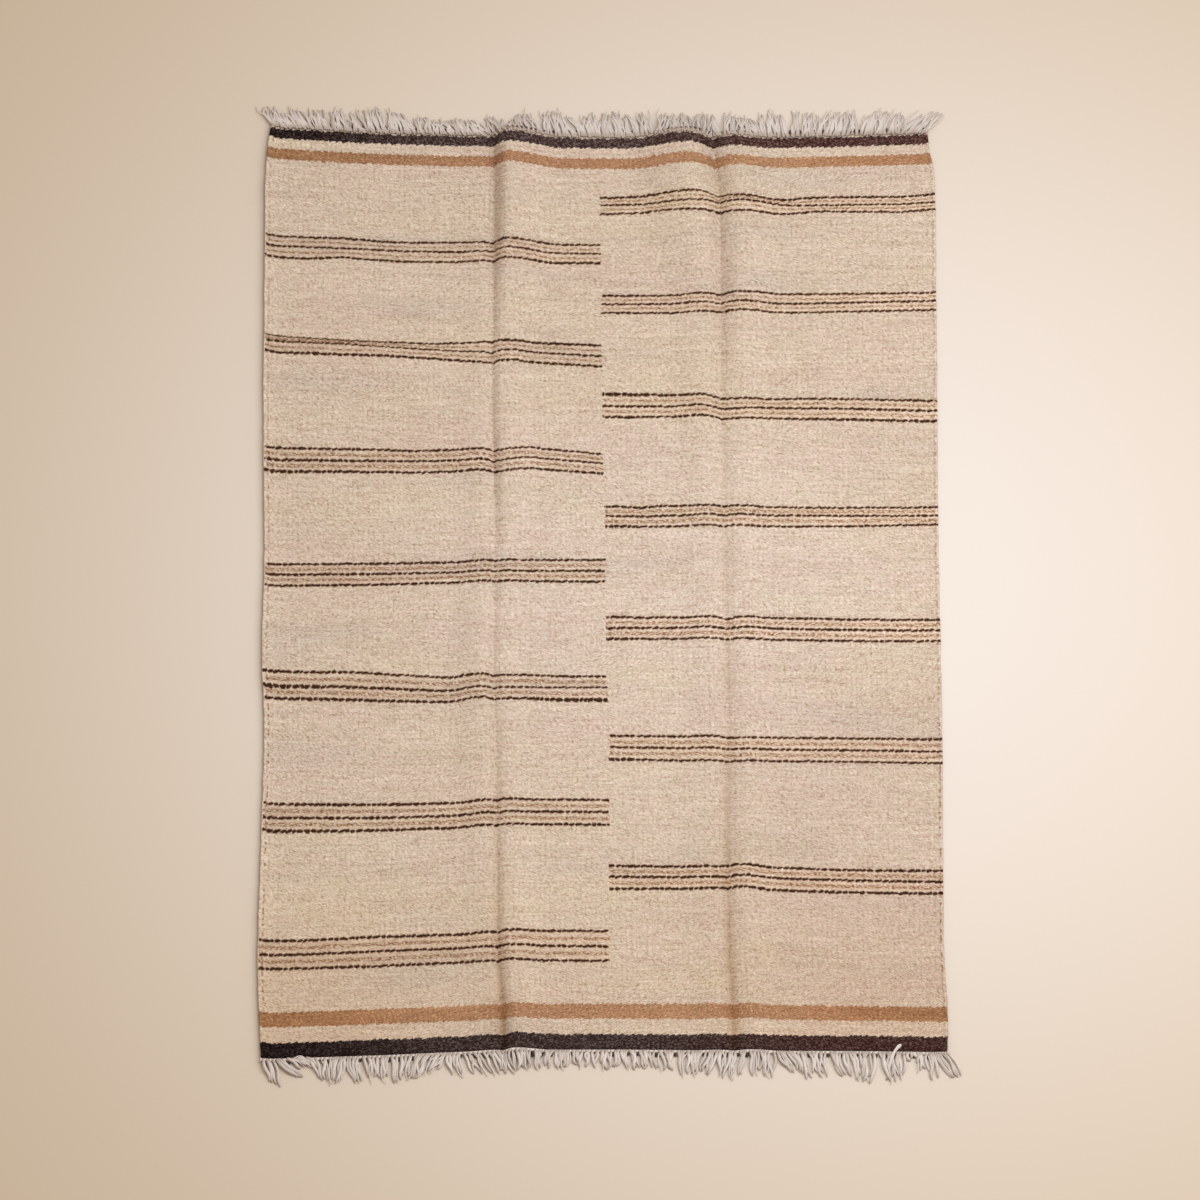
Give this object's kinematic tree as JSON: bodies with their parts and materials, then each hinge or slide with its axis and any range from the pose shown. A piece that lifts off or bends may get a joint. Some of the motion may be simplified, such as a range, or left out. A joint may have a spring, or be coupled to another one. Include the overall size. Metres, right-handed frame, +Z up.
{
  "type": "kilim rug",
  "caption": "Flat-woven wool rug laid out with two raised lengthwise storage folds, selvedged sides and a short warp fringe at each end.",
  "frame": {"origin": "on the floor, under the middle of the box that holds the whole rug", "axes": "+X across the rug from left to right, +Y along it from the near end to the far end, +Z up"},
  "size_m": [1.2426, 1.9012, 0.036],
  "materials": {
    "woven_wool": "matte, fuzzy, weft-faced hand weave in undyed wool",
    "warp_yarn": "matte, plied off-white warp yarn"
  },
  "bodies": {
    "root": {"cloth": "woven_wool", "far_fringe": "warp_yarn", "near_fringe": "warp_yarn"}
  },
  "joints": []
}
